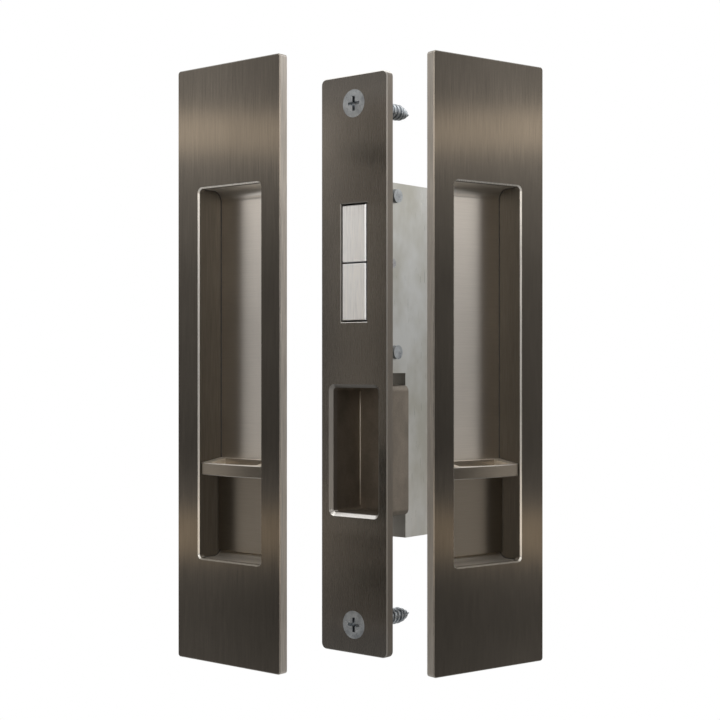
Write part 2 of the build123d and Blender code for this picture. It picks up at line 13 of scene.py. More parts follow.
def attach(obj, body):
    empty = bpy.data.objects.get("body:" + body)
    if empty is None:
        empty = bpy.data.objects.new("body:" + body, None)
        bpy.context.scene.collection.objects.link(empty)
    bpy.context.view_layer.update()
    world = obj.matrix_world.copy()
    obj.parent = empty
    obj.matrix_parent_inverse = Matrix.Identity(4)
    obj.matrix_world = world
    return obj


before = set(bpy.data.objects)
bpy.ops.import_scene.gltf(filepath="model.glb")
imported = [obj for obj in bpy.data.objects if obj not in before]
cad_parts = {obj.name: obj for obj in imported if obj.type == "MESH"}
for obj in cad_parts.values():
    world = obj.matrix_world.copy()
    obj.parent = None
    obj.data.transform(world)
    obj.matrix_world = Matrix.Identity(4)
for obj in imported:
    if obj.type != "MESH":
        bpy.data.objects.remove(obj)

LOG = logging.getLogger("flush_pull_set")
MM = 0.001
ROOT_BODY = "set_frame"
WHITE = (1.0, 1.0, 1.0, 1.0)

# Where the pulls stand in the row frame, and how far the right one is turned.
LEFT_PLACE_MM = (-18.8, -39.7)
RIGHT_PLACE_MM = (48.4, 8.2)
RIGHT_TURN = 75.4
# Each opening lies this far beside the middle of its plate.
OPENING_SHIFT_MM = 0.7

# Most of a noise's values lie between these two.
NOISE_RANGE = {"From Min": 0.3, "From Max": 0.7}
# Cloudy patches of the brushed plating: their size, detail and strength.
CLOUD_MM = (22.0, 22.0, 35.0)
CLOUD_DETAIL = 2.0
CLOUD_CONTRAST = 0.06
# How squarely a surface faces the front, from 0 on a side to 1: where the sides end,
# where the bevels start and end, and where the front starts.
SIDE_END, BEVEL_START, BEVEL_END, FRONT_START = 0.35, 0.6, 0.8, 0.96
# Facing at which the roughness of the sides has given way to that of the front.
BRUSHED_FROM = 0.9
# How far the normal of a bevel that looks up rises, and how far it counts as such. Such
# bevels take a colour of their own, painted for the light and shade that fall on them.
LEDGE_STOPS = [(0.50, 0.0), (0.62, 1.0), (0.80, 1.0), (0.92, 0.0)]
# The brush lines lean by this little, so that they never run along a surface's normal.
LEAN_X, LEAN_Y = 0.013, 0.017
# Share of the brush lines' contrast by which the smoothest of them are smoother.
SMOOTH_SHARE = 0.8
# Where the patches of a grained surface turn from dark to light.
PATCH_DARK, PATCH_LIGHT = 0.36, 0.64
# Roughness of a grain's smoothest and roughest spots, as a share of the mean.
GRAIN_SMOOTH, GRAIN_ROUGH = 0.8, 1.25
# Threads and barbs start inside the surface that carries them, at this share of its radius.
ROOT_SHARE = 0.97


class Brushing(Enum):
    """Direction in which a face was brushed."""

    UPRIGHT = "upright"
    LEVEL = "level"


def to_linear(code: str) -> tuple[float, float, float, float]:
    """Turns an sRGB hex colour into a linear one.

    Args:
        code: colour such as "#5a534a".

    Returns:
        Linear red, green, blue, and an alpha of 1.
    """
    parts = [int(code[i:i + 2], 16) / 255 for i in (1, 3, 5)]
    red, green, blue = (
        p / 12.92 if p <= 0.04045 else ((p + 0.055) / 1.055) ** 2.4 for p in parts)
    return red, green, blue, 1.0


def add_node(tree: bpy.types.NodeTree, kind: str, settings: dict | None = None,
             links: dict | None = None) -> bpy.types.Node:
    """Adds one node with its settings and links.

    Args:
        tree: node tree that takes the node.
        kind: Blender's name of the node type.
        settings: values by input name or number, by property name, or "stops" for a ramp,
            whose colours are hex codes or grey values.
        links: output sockets by the name or number of the input that they feed.

    Returns:
        The new node.
    """
    node = tree.nodes.new(kind)
    for key, value in (settings or {}).items():
        if key == "stops":
            stops = node.color_ramp.elements
            while len(stops) < len(value):
                stops.new(1.0)
            for stop, (place, colour) in zip(stops, value):
                stop.position = place
                if isinstance(colour, str):
                    stop.color = to_linear(colour)
                else:
                    stop.color = (colour, colour, colour, 1.0)
        elif isinstance(key, int) or key in node.inputs:
            node.inputs[key].default_value = value
        else:
            setattr(node, key, value)
    for key, output in (links or {}).items():
        tree.links.new(output, node.inputs[key])
    return node


def new_material(name: str) -> tuple[bpy.types.Material, bpy.types.NodeTree]:
    """Makes an empty material.

    Args:
        name: name of the finish.

    Returns:
        The material and its empty node tree.
    """
    material = bpy.data.materials.new(name)
    material.use_nodes = True
    material.node_tree.nodes.clear()
    return material, material.node_tree


def add_pattern(tree: bpy.types.NodeTree, size_mm: tuple[float, float, float],
                turn: float = 0.0, detail: float = 3.0) -> bpy.types.NodeSocket:
    """Adds a noise whose grains have a real size.

    Args:
        tree: node tree that takes the noise.
        size_mm: size of one grain along the three axes, in millimetres.
        turn: turn of the grain about the upright axis, in degrees.
        detail: number of finer layers in the noise.

    Returns:
        The noise's value.
    """
    place = add_node(tree, "ShaderNodeTexCoord")
    scaled = add_node(tree, "ShaderNodeMapping", {
        "vector_type": "TEXTURE",
        "Rotation": (0.0, 0.0, radians(turn)),
        "Scale": tuple(s * MM for s in size_mm),
    }, {"Vector": place.outputs["Object"]})
    noise = add_node(tree, "ShaderNodeTexNoise", {
        "Scale": 1.0, "Detail": detail, "Roughness": 0.6,
    }, {"Vector": scaled.outputs["Vector"]})
    return noise.outputs[0]


@dataclass(frozen=True)
class BrushedMetal:
    """A metal whose faces carry fine parallel brush lines.

    Attributes:
        name: name of the material.
        face: colour of the brushed front.
        side: colour of the sides and the back.
        rim: colour of the bevels between.
        roughness: roughness of the front.
        anisotropy: how far the lines draw a highlight out across themselves.
        brushing: direction of the lines.
        line_mm: width of one line.
        length_mm: length of one line.
        contrast: how far the lines differ in colour and roughness.
        relief_mm: depth of the lines.
        turn: turn of the front about the upright axis, in degrees.
        side_roughness: roughness of the sides.
        ledge_light_and_shade: colour painted on the bevels that look up, to stand for the light
        and shade on them, or nothing where they are as the others.
        opening_wall_shade: colour painted on the walls in a pull's opening, darker than the
            sides: painted shade; or nothing where there is none.
        opening_rim_highlight: colour painted on the bevels round that opening: painted highlight.
        wall_middle_mm: middle of the opening.
        wall_half_mm: half the opening's width and half its height.
    """

    name: str
    face: str
    side: str
    rim: str
    roughness: float
    anisotropy: float
    brushing: Brushing
    line_mm: float
    length_mm: float
    contrast: float
    relief_mm: float
    turn: float = 0.0
    side_roughness: float = 0.45
    ledge_light_and_shade: str = ""
    opening_wall_shade: str = ""
    opening_rim_highlight: str = ""
    wall_middle_mm: tuple[float, float, float] = (0.0, 0.0, 0.0)
    wall_half_mm: tuple[float, float] = (14.4, 60.0)

    def zones(self, tree: bpy.types.NodeTree, facing: bpy.types.NodeSocket, side: str,
              rim: str) -> bpy.types.NodeSocket:
        """Colours a surface by how squarely it faces the front.

        Args:
            tree: node tree of the material.
            facing: 0 on the sides and the back, 1 on the front.
            side: colour of the sides.
            rim: colour of the bevels between.

        Returns:
            The colour.
        """
        ramp = add_node(tree, "ShaderNodeValToRGB", {
            "stops": [(0.0, side), (SIDE_END, side), (BEVEL_START, rim), (BEVEL_END, rim),
                      (FRONT_START, self.face), (1.0, self.face)],
        }, {"Fac": facing})
        return ramp.outputs["Color"]

    def opening_mask(self, tree: bpy.types.NodeTree) -> bpy.types.NodeSocket:
        """Tells the opening of the pull from the rest of its plate.

        Args:
            tree: node tree of the material.

        Returns:
            1 inside the opening's outline, 0 outside it.
        """
        place = add_node(tree, "ShaderNodeTexCoord")
        scaled = add_node(tree, "ShaderNodeMapping", {
            "vector_type": "TEXTURE",
            "Location": tuple(v * MM for v in self.wall_middle_mm),
            "Rotation": (0.0, 0.0, radians(self.turn)),
            "Scale": (self.wall_half_mm[0] * MM, MM, self.wall_half_mm[1] * MM),
        }, {"Vector": place.outputs["Object"]})
        apart = add_node(tree, "ShaderNodeVectorMath", {"operation": "ABSOLUTE"},
                         {0: scaled.outputs["Vector"]})
        parts = add_node(tree, "ShaderNodeSeparateXYZ", {}, {"Vector": apart.outputs["Vector"]})
        widest = add_node(tree, "ShaderNodeMath", {"operation": "MAXIMUM"},
                          {0: parts.outputs["X"], 1: parts.outputs["Z"]})
        inside = add_node(tree, "ShaderNodeMath", {"operation": "LESS_THAN", 1: 1.0},
                          {0: widest.outputs[0]})
        return inside.outputs[0]

    def plated(self, tree: bpy.types.NodeTree, facing: bpy.types.NodeSocket,
               normal: bpy.types.NodeSocket) -> bpy.types.NodeSocket:
        """Colours front, sides, bevels, opening and ledges, before the brush lines.

        Args:
            tree: node tree of the material.
            facing: 0 on the sides and the back, 1 on the front.
            normal: true normal of the surface.

        Returns:
            The colour.
        """
        colour = self.zones(tree, facing, self.side, self.rim)
        # Inside the opening the walls get painted shade and the bevels round it a painted
        # highlight.
        if self.opening_wall_shade:
            walls = self.zones(tree, facing, self.opening_wall_shade, self.opening_rim_highlight)
            colour = add_node(tree, "ShaderNodeMix", {"data_type": "RGBA"}, {
                0: self.opening_mask(tree), 6: colour, 7: walls}).outputs[2]
        # Bevels that look up get painted light: a painted highlight on the forend, painted shade
        # on the plates.
        if self.ledge_light_and_shade:
            parts = add_node(tree, "ShaderNodeSeparateXYZ", {}, {"Vector": normal})
            upward = add_node(tree, "ShaderNodeValToRGB", {"stops": LEDGE_STOPS},
                              {"Fac": parts.outputs["Z"]})
            colour = add_node(tree, "ShaderNodeMix", {
                "data_type": "RGBA", 7: to_linear(self.ledge_light_and_shade),
            }, {0: upward.outputs["Color"], 6: colour}).outputs[2]
        return colour

    def build(self) -> bpy.types.Material:
        """Builds the material.

        Returns:
            The material.
        """
        material, tree = new_material(self.name)
        turn = radians(self.turn)
        if self.brushing is Brushing.UPRIGHT:
            grain = (self.line_mm, self.line_mm, self.length_mm)
            along = (LEAN_X, LEAN_Y, 1.0)
        else:
            grain = (self.length_mm, self.line_mm, self.line_mm)
            along = (cos(turn), sin(turn), LEAN_X)
        lines = add_pattern(tree, grain, self.turn)
        clouds = add_pattern(tree, CLOUD_MM, self.turn, CLOUD_DETAIL)
        surface = add_node(tree, "ShaderNodeNewGeometry")
        normal = surface.outputs["True Normal"]
        facing = add_node(tree, "ShaderNodeVectorMath", {
            "operation": "DOT_PRODUCT", 1: (sin(turn), -cos(turn), 0.0)}, {0: normal})
        squared = add_node(tree, "ShaderNodeMath", {"operation": "MAXIMUM", 1: 0.0},
                           {0: facing.outputs["Value"]})
        plated = self.plated(tree, squared.outputs[0], normal)
        streaks = add_node(tree, "ShaderNodeMapRange", {
            **NOISE_RANGE, "To Min": 1.0 - self.contrast, "To Max": 1.0 + self.contrast,
        }, {"Value": lines})
        patches = add_node(tree, "ShaderNodeMapRange", {
            **NOISE_RANGE, "To Min": 1.0 - CLOUD_CONTRAST, "To Max": 1.0 + CLOUD_CONTRAST,
        }, {"Value": clouds})
        shade = add_node(tree, "ShaderNodeMath", {"operation": "MULTIPLY"},
                         {0: streaks.outputs[0], 1: patches.outputs[0]})
        colour = add_node(tree, "ShaderNodeVectorMath", {"operation": "SCALE"},
                          {0: plated, "Scale": shade.outputs[0]})
        brushed = add_node(tree, "ShaderNodeMapRange", {
            **NOISE_RANGE,
            "To Min": self.roughness * (1.0 - SMOOTH_SHARE * self.contrast),
            "To Max": self.roughness * (1.0 + self.contrast),
        }, {"Value": lines})
        unbrushed = add_node(tree, "ShaderNodeMapRange", {
            "From Min": SIDE_END, "From Max": BRUSHED_FROM, "To Min": 1.0, "To Max": 0.0,
        }, {"Value": squared.outputs[0]})
        rough = add_node(tree, "ShaderNodeMix", {
            "data_type": "FLOAT", 3: self.side_roughness,
        }, {0: unbrushed.outputs[0], 2: brushed.outputs[0]})
        relief = add_node(tree, "ShaderNodeBump", {
            "Strength": 1.0, "Distance": self.relief_mm * MM}, {"Height": lines})
        across = add_node(tree, "ShaderNodeVectorMath", {
            "operation": "CROSS_PRODUCT", 1: along}, {0: surface.outputs["Normal"]})
        tangent = add_node(tree, "ShaderNodeVectorMath", {"operation": "NORMALIZE"},
                           {0: across.outputs["Vector"]})
        shader = add_node(tree, "ShaderNodeBsdfPrincipled", {
            "Metallic": 1.0, "Anisotropic": self.anisotropy,
        }, {
            "Base Color": colour.outputs["Vector"], "Roughness": rough.outputs[0],
            "Normal": relief.outputs["Normal"], "Tangent": tangent.outputs["Vector"],
        })
        add_node(tree, "ShaderNodeOutputMaterial", {}, {"Surface": shader.outputs["BSDF"]})
        return material


@dataclass(frozen=True)
class GrainedSolid:
    """A plated, cast, turned or moulded surface: two colours in soft patches, fine grain.

    Attributes:
        name: name of the material.
        light: colour of the light patches.
        dark: colour of the dark patches.
        metallic: 1 for a metal, 0 otherwise.
        roughness: mean roughness.
        patch_mm: size of a patch.
        grain_mm: size of a grain.
        relief_mm: depth of the grain.
    """

    name: str
    light: str
    dark: str
    metallic: float
    roughness: float
    patch_mm: tuple[float, float, float]
    grain_mm: tuple[float, float, float]
    relief_mm: float

    def build(self) -> bpy.types.Material:
        """Builds the material.

        Returns:
            The material.
        """
        material, tree = new_material(self.name)
        patches = add_pattern(tree, self.patch_mm)
        grains = add_pattern(tree, self.grain_mm)
        colour = add_node(tree, "ShaderNodeValToRGB", {
            "stops": [(PATCH_DARK, self.dark), (PATCH_LIGHT, self.light)]}, {"Fac": patches})
        rough = add_node(tree, "ShaderNodeMapRange", {
            **NOISE_RANGE,
            "To Min": self.roughness * GRAIN_SMOOTH, "To Max": self.roughness * GRAIN_ROUGH,
        }, {"Value": grains})
        relief = add_node(tree, "ShaderNodeBump", {
            "Strength": 1.0, "Distance": self.relief_mm * MM}, {"Height": grains})
        shader = add_node(tree, "ShaderNodeBsdfPrincipled", {"Metallic": self.metallic}, {
            "Base Color": colour.outputs["Color"], "Roughness": rough.outputs[0],
            "Normal": relief.outputs["Normal"],
        })
        add_node(tree, "ShaderNodeOutputMaterial", {}, {"Surface": shader.outputs["BSDF"]})
        return material


# Gunmetal plating over brushed steel: warm dark grey whose upright lines spread each
# highlight sideways, with duller milled sides. Its sides and bevels are painted paler than
# its front: painted highlight. The brush lines are drawn some three times as wide as real
# ones, so that they show, and so are those of the forend, the thumb slides and the liners.
LEFT_GUNMETAL = BrushedMetal(
    "gunmetal_plated_steel_left", face="#6b645b", side="#dcd5cc", rim="#8f887f",
    roughness=0.15, anisotropy=0.93, brushing=Brushing.UPRIGHT, line_mm=0.20,
    # The plate's bevels that look up are painted darker than its other bevels: painted shade.
    length_mm=10.0, contrast=0.20, relief_mm=0.006, side_roughness=0.5, ledge_light_and_shade="#7a746b",
    # The walls in the opening are painted dark (painted shade), the bevels round it near white
    # (painted highlight).
    opening_wall_shade="#6a6359", opening_rim_highlight="#d6d1c9", wall_middle_mm=(-18.1, -39.7, -3.05))
# The right plate's copy has its sides painted less pale than the left's: painted shade.
RIGHT_GUNMETAL = replace(
    LEFT_GUNMETAL, name="gunmetal_plated_steel_right", side="#b7b0a7", turn=RIGHT_TURN,
    wall_middle_mm=(48.22, 7.52, -3.05))

# The forend has the same plating over finer, duller brushing, so it looks smoother.
# Its bevels that look up are painted near white: painted highlight.
FOREND_GUNMETAL = BrushedMetal(
    "gunmetal_plated_forend", face="#706b65", side="#8c857d", rim="#8f8b86",
    roughness=0.27, anisotropy=0.75, brushing=Brushing.UPRIGHT, line_mm=0.24,
    length_mm=9.0, contrast=0.08, relief_mm=0.003, ledge_light_and_shade="#f4f1ec")

# The thumb slide is brushed along its bar: dull. Its sides and bevels are painted pale: a
# painted reflection of the bright liner beside them.
LEFT_THUMB = BrushedMetal(
    "gunmetal_plated_thumb_slide_left", face="#958d82", side="#efe7db", rim="#d5cfc6",
    roughness=0.30, anisotropy=0.0, brushing=Brushing.LEVEL, line_mm=0.20,
    length_mm=10.0, contrast=0.05, relief_mm=0.003)
RIGHT_THUMB = replace(LEFT_THUMB, name="gunmetal_plated_thumb_slide_right", turn=RIGHT_TURN)

# Lighter satin plating on the bent liner: fine level lines and a broad soft shine, so
# the half of the pocket that nothing shades glows.
LEFT_LINER = BrushedMetal(
    "satin_plated_liner_left", face="#ebe4db", side="#dcd6cd", rim="#d6d0c7",
    roughness=0.29, anisotropy=0.0, brushing=Brushing.LEVEL, line_mm=0.22,
    length_mm=14.0, contrast=0.04, relief_mm=0.002)
RIGHT_LINER = replace(LEFT_LINER, name="satin_plated_liner_right", turn=RIGHT_TURN)

# Stainless steel, brushed upright: bright, neutral and satin. Its lines are drawn
# several times as wide as real ones, so that they show.
CLAW_STEEL = BrushedMetal(
    "brushed_stainless_steel", face="#fcfdff", side="#e6e9ee", rim="#ffffff",
    roughness=0.32, anisotropy=0.6, brushing=Brushing.UPRIGHT, line_mm=0.55,
    length_mm=12.0, contrast=0.14, relief_mm=0.003)

# Inside of the drawn pocket: the same plating, unbrushed, so it drinks the light.
POCKET_PLATING = GrainedSolid(
    "gunmetal_plated_drawn_steel", "#958c81", "#847c72", 1.0, 0.5,
    (9.0, 9.0, 14.0), (0.5, 0.5, 0.5), 0.006)

# Blue zinc passivation: cool light grey with faint clouds.
BLUE_ZINC = GrainedSolid(
    "blue_zinc_plated_steel", "#b4b8bb", "#92969a", 1.0, 0.30,
    (3.0, 3.0, 3.0), (0.4, 0.4, 0.4), 0.006)

# Bright zinc plated sheet: pale, with yellowish clouds and a rolled grain.
SHEET_ZINC = GrainedSolid(
    "bright_zinc_plated_sheet", "#c9cac8", "#b4b3ab", 1.0, 0.33,
    (16.0, 16.0, 22.0), (0.5, 0.5, 12.0), 0.006)

# Turned steel pins: fine rings and a soft shine.
TURNED_STEEL = GrainedSolid(
    "turned_steel", "#bdbdbe", "#a3a3a5", 1.0, 0.25,
    (4.0, 4.0, 4.0), (0.35, 6.0, 6.0), 0.005)

# Blued spring steel: dark with blue and straw temper colours.
BLUED_STEEL = GrainedSolid(
    "blued_spring_steel", "#5d6678", "#4b4440", 1.0, 0.28,
    (3.5, 3.5, 3.5), (0.4, 0.4, 4.0), 0.004)

# Zinc die casting: dull grey with the fine pebbled skin of the mould.
CAST_ZINC = GrainedSolid(
    "zinc_die_casting", "#9fa2a5", "#85888b", 1.0, 0.46,
    (6.0, 6.0, 6.0), (0.55, 0.55, 0.55), 0.03)

# Nearly black, dull beads along the real joints of each pull's pocket, whose darkness is
# painted shade in the corners, so each joint reads as a dark line.
PAINTED_CORNER_SHADE = GrainedSolid(
    "painted_corner_shade", "#201d1a", "#161412", 0.0, 0.55,
    (2.0, 2.0, 3.0), (0.3, 0.3, 0.3), 0.01)

# Pale, soft beads in the two upright corners of the edge pull's pocket: painted highlight,
# so each corner reads as a bright line.
PAINTED_CORNER_HIGHLIGHT = GrainedSolid(
    "painted_corner_highlight", "#d3cabc", "#bdb4a7", 1.0, 0.38,
    (1.5, 1.5, 3.0), (0.3, 0.3, 0.6), 0.008)

# Natural nylon: milky white and slightly waxy, with the mould's texture.
NYLON = GrainedSolid(
    "moulded_nylon", "#dfdcd3", "#d2cfc5", 0.0, 0.48,
    (5.0, 5.0, 5.0), (0.6, 0.6, 0.6), 0.02)


class Finishes:
    """Builds each finish once and hands it out."""

    def __init__(self) -> None:
        """Starts with no finish built."""
        self._built: dict[str, bpy.types.Material] = {}

    def get(self, finish: BrushedMetal | GrainedSolid) -> bpy.types.Material:
        """Gives the material of a finish.

        Args:
            finish: description of the finish.

        Returns:
            Its material.
        """
        if finish.name not in self._built:
            self._built[finish.name] = finish.build()
        return self._built[finish.name]


def dress(node_name: str, material: bpy.types.Material) -> None:
    """Gives a CAD node its material.

    Args:
        node_name: name of the node.
        material: its finish.
    """
    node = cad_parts[node_name]
    if node.material_slots:
        for slot in node.material_slots:
            slot.material = material
    else:
        node.data.materials.append(material)
    LOG.info("dressed %s in %s", node_name, material.name)


def circle(sides: int) -> list[tuple[float, float]]:
    """Gives evenly spaced points on a circle of radius 1.

    Args:
        sides: number of points.

    Returns:
        Cosine and sine of each point's angle.
    """
    angles = [2 * pi * i / sides for i in range(sides)]
    return [(cos(angle), sin(angle)) for angle in angles]


def skin(shape: bmesh.types.BMesh, rings: list[list[Vector]], closed: bool = False) -> None:
    """Joins rings of points into a tube.

    Args:
        shape: mesh that takes the tube.
        rings: equally long rings of points in millimetres.
        closed: whether the last ring joins the first; otherwise both ends are capped.
    """
    rows = [[shape.verts.new(point * MM) for point in ring] for ring in rings]
    pairs = list(zip(rows, rows[1:]))
    if closed:
        pairs.append((rows[-1], rows[0]))
    else:
        shape.faces.new(rows[0][::-1])
        shape.faces.new(rows[-1])
    for a, b in pairs:
        for j in range(len(a)):
            k = (j + 1) % len(a)
            shape.faces.new((a[j], a[k], b[k], b[j]))


def finish_mesh(shape: bmesh.types.BMesh, name: str) -> bpy.types.Mesh:
    """Turns a built shape into a smooth mesh.

    Args:
        shape: the built shape, which is freed.
        name: name of the mesh.

    Returns:
        The mesh.
    """
    bmesh.ops.recalc_face_normals(shape, faces=shape.faces)
    mesh = bpy.data.meshes.new(name)
    shape.to_mesh(mesh)
    shape.free()
    for face in mesh.polygons:
        face.use_smooth = True
    return mesh


def place_piece(name: str, mesh: bpy.types.Mesh, material: bpy.types.Material, body: str) -> None:
    """Puts a new piece into the scene.

    Args:
        name: name of the piece.
        mesh: its mesh, in metres in the row frame.
        material: its finish.
        body: CAD body that it rides on.
    """
    mesh.materials.append(material)
    piece = bpy.data.objects.new(name, mesh)
    bpy.context.scene.collection.objects.link(piece)
    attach(piece, body)
    LOG.info("built %s with %d faces", name, len(mesh.polygons))


@dataclass
class FlushPull:
    """One flush pull: plate, pocket, thumb slide, retainer, guide and spigots.

    Attributes:
        side: left or right.
        plate: finish of the plate.
        thumb: finish of the thumb slide.
        liner: finish of the pocket's liner.
        place_mm: place of the plate's middle in the row frame.
        turn: turn about the upright axis, in degrees.
        shift_mm: how far the opening lies off the plate's middle.
    """

    side: str
    plate: BrushedMetal
    thumb: BrushedMetal
    liner: BrushedMetal
    place_mm: tuple[float, float]
    turn: float
    shift_mm: float
    pocket_half_mm: float = 13.55
    pocket_rise_mm: float = -3.05
    pocket_half_height_mm: float = 59.2
    pocket_front_mm: float = 2.6
    pocket_depth_mm: float = 10.2
    bend_mm: float = 3.5
    bend_steps: int = 8
    seam_mm: float = 0.2
    seam_sides: int = 8
    spigot_height_mm: float = 75.0
    spigot_radius_mm: float = 4.0
    spigot_sides: int = 40
    barb_mm: float = 0.24
    barb_pitch_mm: float = 1.5
    barb_crest_mm: tuple[float, float] = (0.08, 0.2)
    barb_share: float = 0.8
    barbs: int = 6
    barbs_from_mm: float = 4.4

    def point(self, width: float, depth: float, height: float) -> Vector:
        """Turns a place on the pull into the row frame.

        Args:
            width: distance along the plate's width, in millimetres.
            depth: distance behind the plate's face.
            height: height.

        Returns:
            The place in the row frame, in millimetres.
        """
        turn = radians(self.turn)
        return Vector((
            self.place_mm[0] + width * cos(turn) - depth * sin(turn),
            self.place_mm[1] + width * sin(turn) + depth * cos(turn),
            height))

    def seam_path(self) -> list[tuple[float, float]]:
        """Follows the bent liner from its ceiling over its back to its floor.

        Returns:
            Depths and heights along the joint.
        """
        top = self.pocket_half_height_mm
        bend = self.bend_mm
        middle = self.pocket_depth_mm - bend
        half = [(self.pocket_front_mm, top)]
        for i in range(self.bend_steps + 1):
            angle = pi / 2 * i / self.bend_steps
            half.append((middle + bend * sin(angle), top - bend + bend * cos(angle)))
        rest = [(depth, -height) for depth, height in reversed(half)]
        return [(depth, self.pocket_rise_mm + height) for depth, height in half + rest]

    def seam_mesh(self) -> bpy.types.Mesh:
        """Builds the two dark beads along the joints between the liner and the pocket's walls:
        painted shade in those corners.

        Returns:
            The mesh of both beads.
        """
        shape = bmesh.new()
        path = self.seam_path()
        for side in (-1, 1):
            width = self.shift_mm + side * self.pocket_half_mm
            rings = []
            for i, (depth, height) in enumerate(path):
                before, after = path[max(0, i - 1)], path[min(len(path) - 1, i + 1)]
                along = Vector((after[0] - before[0], after[1] - before[1])).normalized()
                rings.append([
                    self.point(width + self.seam_mm * beside,
                               depth - self.seam_mm * lift * along.y,
                               height + self.seam_mm * lift * along.x)
                    for beside, lift in circle(self.seam_sides)])
            skin(shape, rings)
        return finish_mesh(shape, "pocket_seam_shade")

    def barb_mesh(self) -> bpy.types.Mesh:
        """Builds the ring barbs that hold the two spigots in the door.

        Returns:
            The mesh of all barbs.
        """
        shape = bmesh.new()
        root = self.spigot_radius_mm * ROOT_SHARE
        crest = self.spigot_radius_mm + self.barb_mm
        profile = ((root, 0.0), (crest, self.barb_crest_mm[0]), (crest, self.barb_crest_mm[1]),
                   (root, self.barb_pitch_mm * self.barb_share))
        for side in (-1, 1):
            middle = side * self.spigot_height_mm
            for i in range(self.barbs):
                start = self.barbs_from_mm + i * self.barb_pitch_mm
                skin(shape, [
                    [self.point(radius * beside, start + shift, middle + radius * lift)
                     for radius, shift in profile]
                    for beside, lift in circle(self.spigot_sides)], closed=True)
        return finish_mesh(shape, "spigot_barbs")

    def build(self, finishes: Finishes) -> None:
        """Dresses the pull and adds its barbs and its dark joint beads of painted shade.

        Args:
            finishes: store of materials.
        """
        self.dress(finishes)
        # The dark beads in the pocket's corners are painted shade.
        place_piece(f"{self.side}_pocket_seam_shade", self.seam_mesh(),
                    finishes.get(PAINTED_CORNER_SHADE), ROOT_BODY)
        place_piece(f"{self.side}_spigot_barbs", self.barb_mesh(), finishes.get(NYLON),
                    ROOT_BODY)

    def dress(self, finishes: Finishes) -> None:
        """Gives each node of the pull its finish.

        Args:
            finishes: store of materials.
        """
        wear: dict[str, BrushedMetal | GrainedSolid] = {
            "pull_plate": self.plate,
            "thumb_slide": self.thumb,
            "pocket_liner": self.liner,
            "slide_retainer": SHEET_ZINC,
            "slide_guide": SHEET_ZINC,
            "retainer_key": TURNED_STEEL,
            "fixing_spigots": NYLON,
        }
        for piece, finish in wear.items():
            dress(f"{self.side}_{piece}", finishes.get(finish))


@dataclass
class WoodScrews:
    """The forend's two screws: CAD heads and shanks, with a rolled thread on each shank.

    Attributes:
        height_mm: height of the screws above and below the forend's middle.
        shank_mm: radius of the shank.
        crest_mm: height of the thread over the shank.
        pitch_mm: rise of one turn.
        start_mm: where the thread starts behind the forend's face.
        taper_mm: where the shank starts to taper.
        end_mm: where the thread ends.
        tip_mm: where the tip ends.
        tip_share: least radius of the core, as a share of the shank's.
        run_in: how soon the thread reaches its height at the head's end.
        run_out: how soon it falls at the tip.
        run_out_share: height that it keeps at its very end.
        flank_share: half the width of the thread's foot, as a share of the pitch.
        crest_half_mm: half the width of its crest.
        stations_per_turn: number of sections in one turn.
    """

    height_mm: float = 85.6
    shank_mm: float = 2.1
    crest_mm: float = 0.62
    pitch_mm: float = 1.9
    start_mm: float = 8.0
    taper_mm: float = 24.0
    end_mm: float = 29.2
    tip_mm: float = 30.0
    tip_share: float = 0.06
    run_in: float = 12.0
    run_out: float = 8.0
    run_out_share: float = 0.1
    flank_share: float = 0.24
    crest_half_mm: float = 0.05
    stations_per_turn: int = 28

    def thread_mesh(self, side: int) -> bpy.types.Mesh:
        """Builds the helical thread of one screw.

        Args:
            side: 1 for the upper screw, -1 for the lower one.

        Returns:
            The thread's mesh.
        """
        shape = bmesh.new()
        length = self.end_mm - self.start_mm
        count = int(length / self.pitch_mm * self.stations_per_turn)
        half = self.pitch_mm * self.flank_share
        rings = []
        for i in range(count + 1):
            share = i / count
            along = self.start_mm + share * length
            core = self.shank_mm
            if along > self.taper_mm:
                core *= max(self.tip_share,
                            (self.tip_mm - along) / (self.tip_mm - self.taper_mm))
            crest = core + self.crest_mm * min(
                1.0, share * self.run_in, (1 - share) * self.run_out + self.run_out_share)
            root = core * ROOT_SHARE
            angle = 2 * pi * i / self.stations_per_turn
            profile = ((root, -half), (crest, -self.crest_half_mm),
                       (crest, self.crest_half_mm), (root, half))
            rings.append([
                Vector((radius * cos(angle), along + shift,
                        side * self.height_mm + radius * sin(angle)))
                for radius, shift in profile])
        skin(shape, rings)
        return finish_mesh(shape, "screw_thread")

    def build(self, finishes: Finishes) -> None:
        """Dresses the screws and adds their threads.

        Args:
            finishes: store of materials.
        """
        dress("forend_screws", finishes.get(BLUE_ZINC))
        for name, side in (("upper", 1), ("lower", -1)):
            place_piece(f"{name}_screw_thread", self.thread_mesh(side),
                        finishes.get(BLUE_ZINC), ROOT_BODY)


